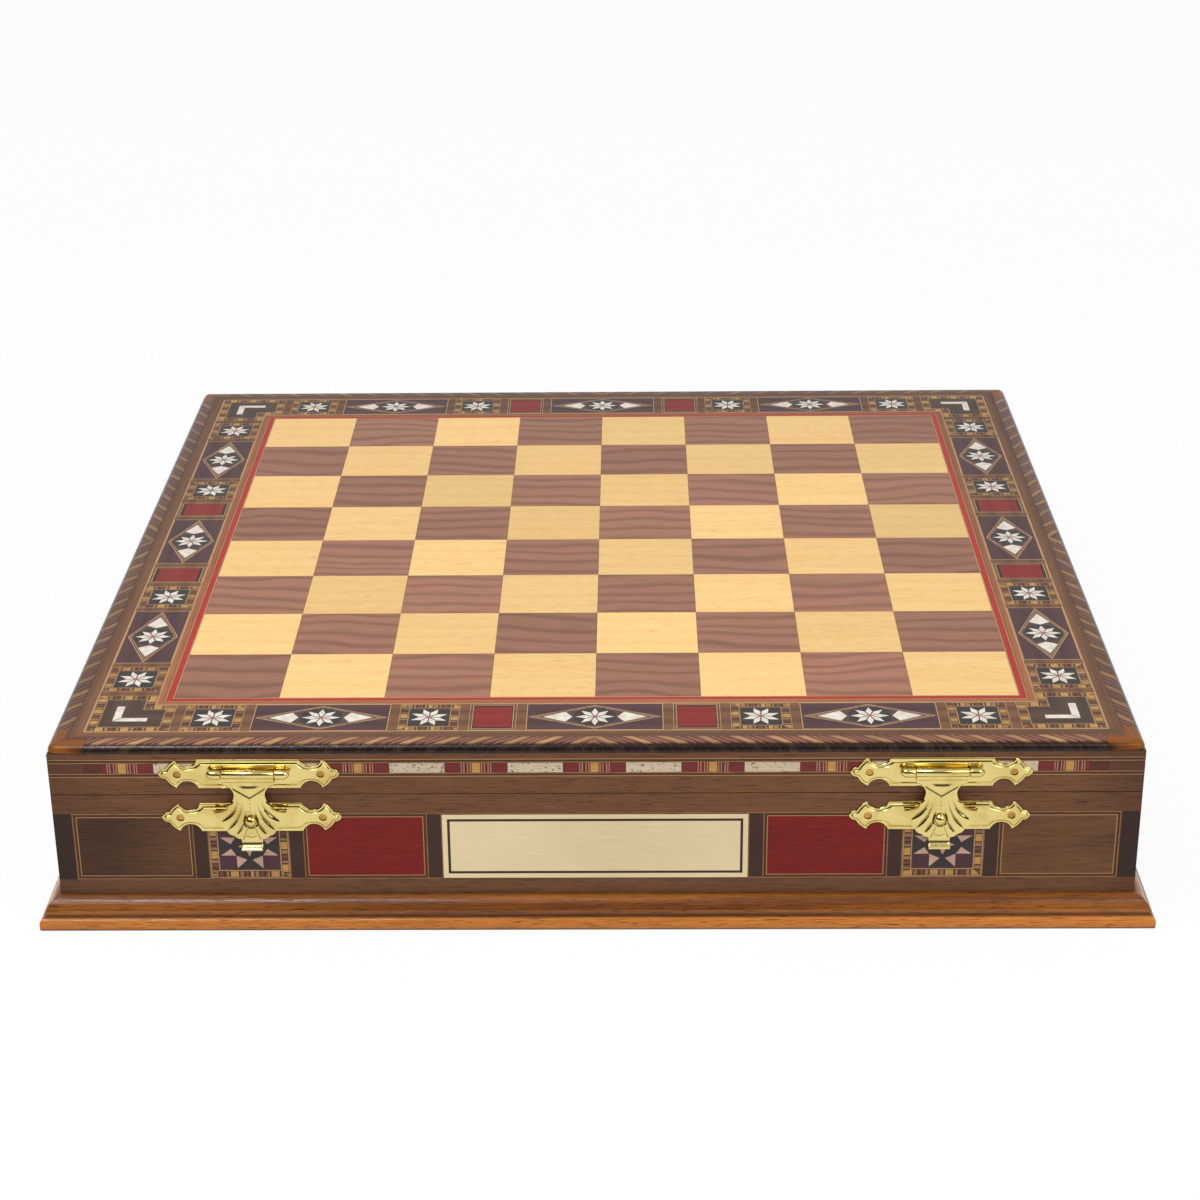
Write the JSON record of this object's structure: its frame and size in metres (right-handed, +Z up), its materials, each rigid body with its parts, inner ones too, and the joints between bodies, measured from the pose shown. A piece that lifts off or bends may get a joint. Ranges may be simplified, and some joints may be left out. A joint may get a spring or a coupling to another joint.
{
  "type": "chess box",
  "caption": "Wooden box with a chessboard as its hinged lid, inlaid borders, two brass hasp clasps and a divided, felt-lined inside.",
  "frame": {"origin": "centre of the underside, on the surface that the box stands on", "axes": "+X to the right, +Y to the back where the hinges are, +Z up; the clasps face -Y"},
  "size_m": [0.4172, 0.4172, 0.074],
  "materials": {
    "case_walnut": "satin lacquered walnut",
    "plinth_walnut": "gloss lacquered walnut moulding",
    "plywood": "bare plywood",
    "green_felt": "short green felt",
    "light_string": "thin light veneer line",
    "figured_walnut": "figured walnut veneer, lacquered",
    "red_veneer": "red-stained veneer, lacquered",
    "ebony": "black-brown veneer, lacquered",
    "block_banding": "banding of small yellow, brown and red blocks",
    "wine_veneer": "wine-stained veneer",
    "rose_veneer": "pinkish light veneer",
    "brushed_brass": "pale brushed brass plate",
    "dark_filler": "dark enamel line",
    "polished_brass": "polished light brass",
    "hinge_brass": "drawn brass",
    "lid_banding": "banding of cream and red blocks and fine stripes",
    "board_maple": "light yellow veneer, lacquered",
    "board_walnut": "walnut veneer, lacquered",
    "border_walnut": "walnut veneer, lacquered",
    "rosewood": "purple-brown veneer, lacquered",
    "mother_of_pearl": "polished mother-of-pearl",
    "string_frame": "frame of fine light and dark lines",
    "rope_edging": "slanted rope banding, gloss lacquer",
    "honey_wood": "honey-coloured wood, gloss lacquer"
  },
  "bodies": {
    "box": {"wall_front": "case_walnut", "wall_right": "case_walnut", "wall_back": "case_walnut", "wall_left": "case_walnut", "plinth_front": "plinth_walnut", "plinth_right": "plinth_walnut", "plinth_back": "plinth_walnut", "plinth_left": "plinth_walnut", "bottom_panel": "plywood", "floor_felt": "green_felt", "divider": "case_walnut", "wall_strings": "light_string", "end_panels": "figured_walnut", "red_panels": "red_veneer", "wall_stiles": "ebony", "centre_panels": "figured_walnut", "wall_star_frames": "block_banding", "wall_star_grounds": "ebony", "wall_star_corners": "wine_veneer", "wall_star_rays": "rose_veneer", "name_plate": "brushed_brass", "name_plate_line": "dark_filler", "catch_plates": "polished_brass", "catch_nails": "polished_brass", "hinge_leaves_box": "hinge_brass", "hinge_screws_box": "hinge_brass", "hinge_pins": "hinge_brass"},
    "lid": {"lid_wall_front": "case_walnut", "lid_wall_right": "case_walnut", "lid_wall_back": "case_walnut", "lid_wall_left": "case_walnut", "lid_core": "plywood", "lid_felt": "green_felt", "lid_banding": "lid_banding", "lid_banding_strings": "light_string", "light_squares": "board_maple", "dark_squares": "board_walnut", "red_line": "red_veneer", "board_strings": "light_string", "border_walnut": "border_walnut", "diamond_grounds": "rosewood", "pearl_kites": "mother_of_pearl", "star_frames": "block_banding", "star_grounds": "ebony", "pearl_stars": "mother_of_pearl", "red_block_frames": "string_frame", "red_blocks": "red_veneer", "corner_frames": "block_banding", "corner_grounds": "border_walnut", "corner_angles": "mother_of_pearl", "edge_strips": "rope_edging", "edge_corners": "honey_wood", "clasp_plates": "polished_brass", "clasp_nails": "polished_brass", "hasp_pins": "polished_brass", "hinge_leaves_lid": "hinge_brass", "hinge_screws_lid": "hinge_brass"},
    "hasp_left": {"hasp_left": "polished_brass"},
    "hasp_right": {"hasp_right": "polished_brass"}
  },
  "joints": [
    {"name": "lid_hinge", "type": "hinge", "parent": "box", "child": "lid", "pos_m": [0, 0.1975, 0.054], "axis": [-1, 0, 0], "range_deg": [0, 97]},
    {"name": "hasp_left_hinge", "type": "hinge", "parent": "lid", "child": "hasp_left", "pos_m": [-0.127, -0.2043, 0.06385], "axis": [-1, 0, 0], "range_deg": [0, 150]},
    {"name": "hasp_right_hinge", "type": "hinge", "parent": "lid", "child": "hasp_right", "pos_m": [0.127, -0.2043, 0.06385], "axis": [-1, 0, 0], "range_deg": [0, 150]}
  ]
}
